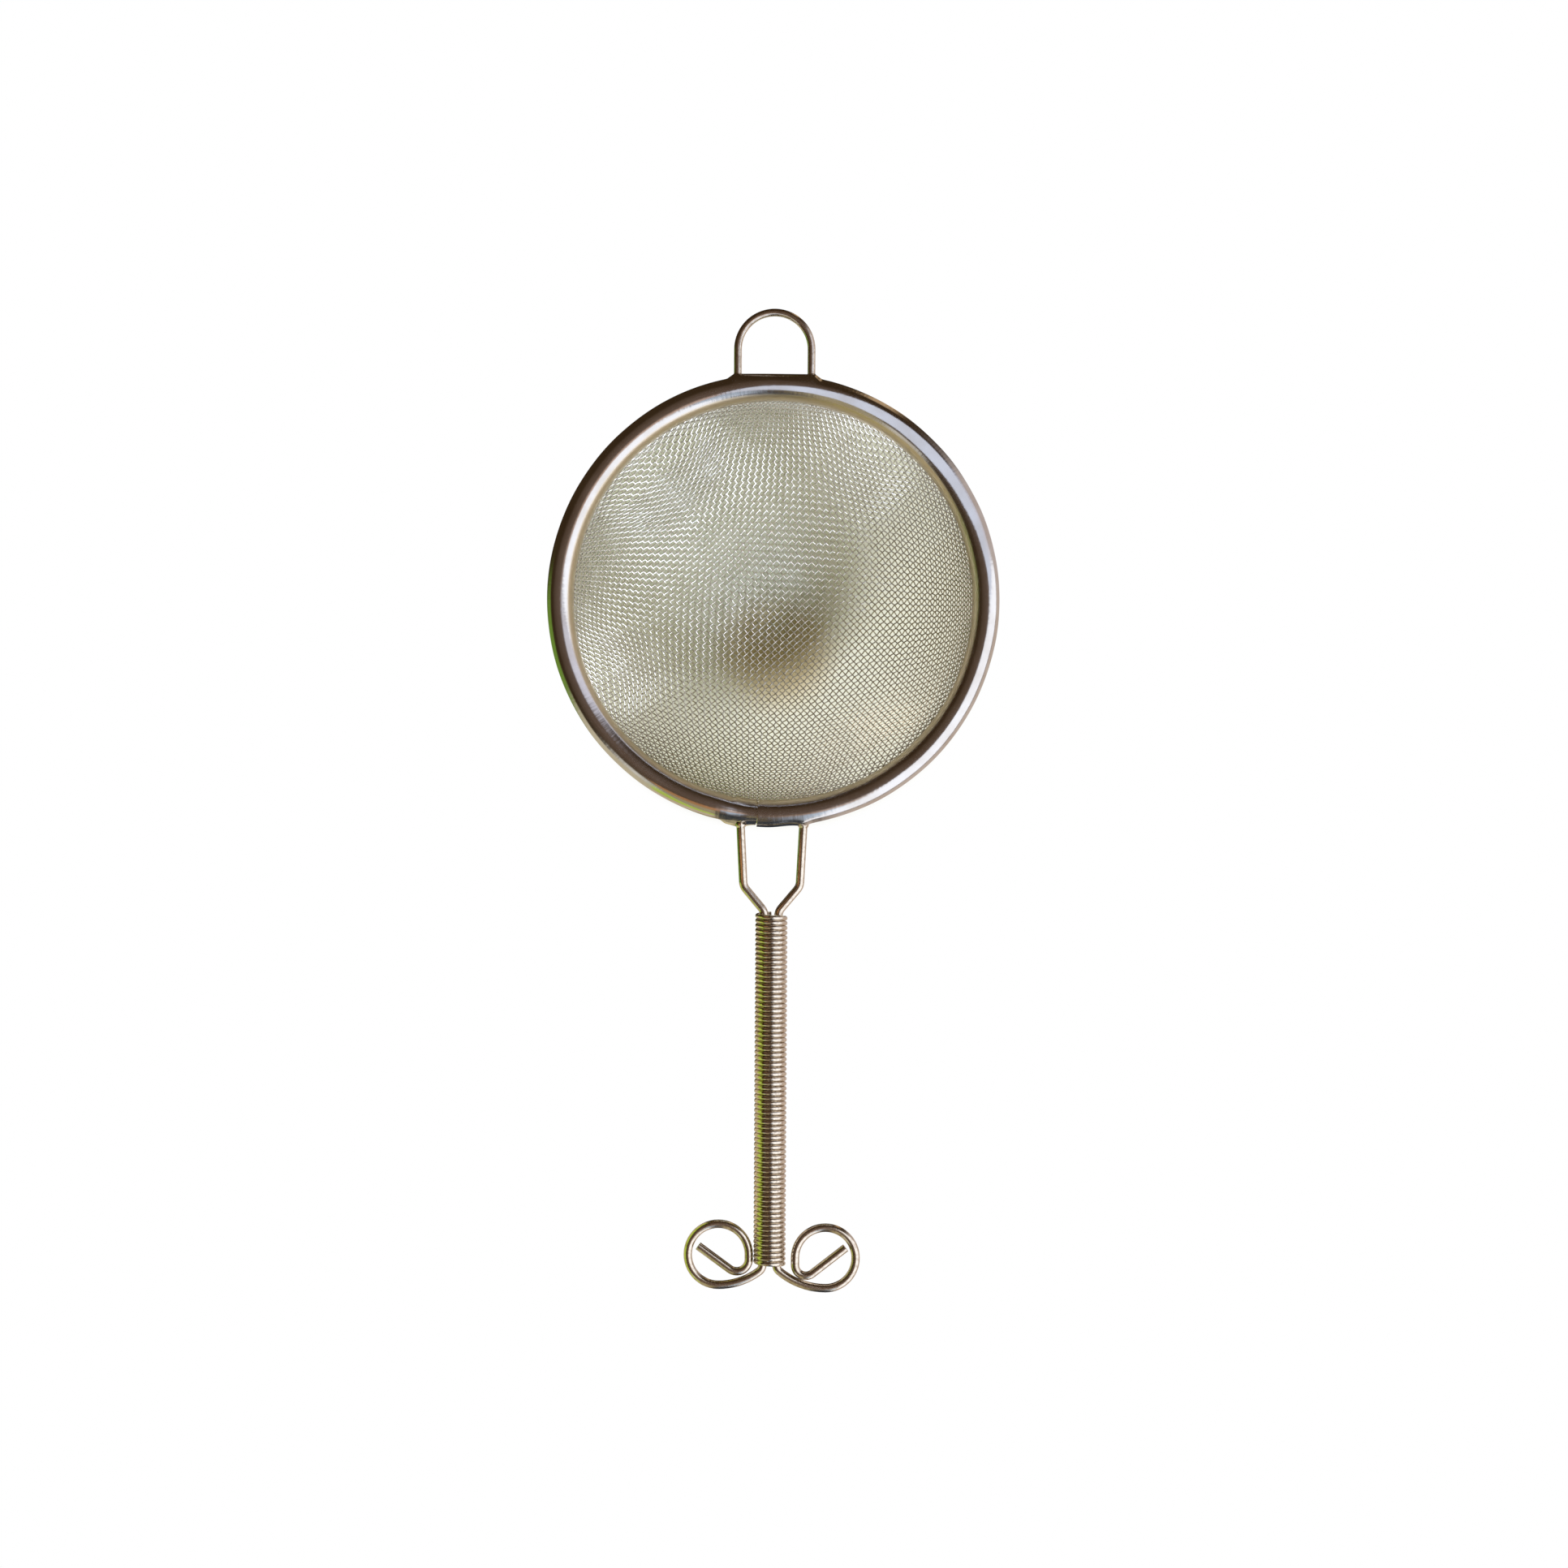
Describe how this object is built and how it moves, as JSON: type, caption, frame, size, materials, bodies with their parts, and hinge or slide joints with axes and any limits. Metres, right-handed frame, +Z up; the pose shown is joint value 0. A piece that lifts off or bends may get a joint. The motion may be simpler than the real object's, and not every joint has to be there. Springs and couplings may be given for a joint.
{
  "type": "fine mesh cocktail strainer",
  "caption": "Round fine-mesh strainer with a rolled steel rim, woven-wire bowl, rest loop and a coil-wound wire handle ending in two scrolls.",
  "frame": {"origin": "on the bowl's axis, in the plane of the rim's flat underside", "axes": "+Z up out of the bowl's mouth, +Y away from the handle towards the rest loop, +X to the right when the handle points at the user"},
  "size_m": [0.088, 0.1917, 0.038],
  "materials": {
    "polished_rim": "polished stainless steel sheet",
    "wire_cloth": "plain-weave stainless wire cloth",
    "bright_wire": "bright drawn stainless wire",
    "coil_wire": "bright drawn stainless wire, close wound"
  },
  "bodies": {
    "root": {"rim_band": "polished_rim", "mesh_bowl": "wire_cloth", "rest_loop": "bright_wire", "handle_wire_left": "bright_wire", "handle_wire_right": "bright_wire", "coil_grip": "coil_wire"}
  },
  "joints": []
}
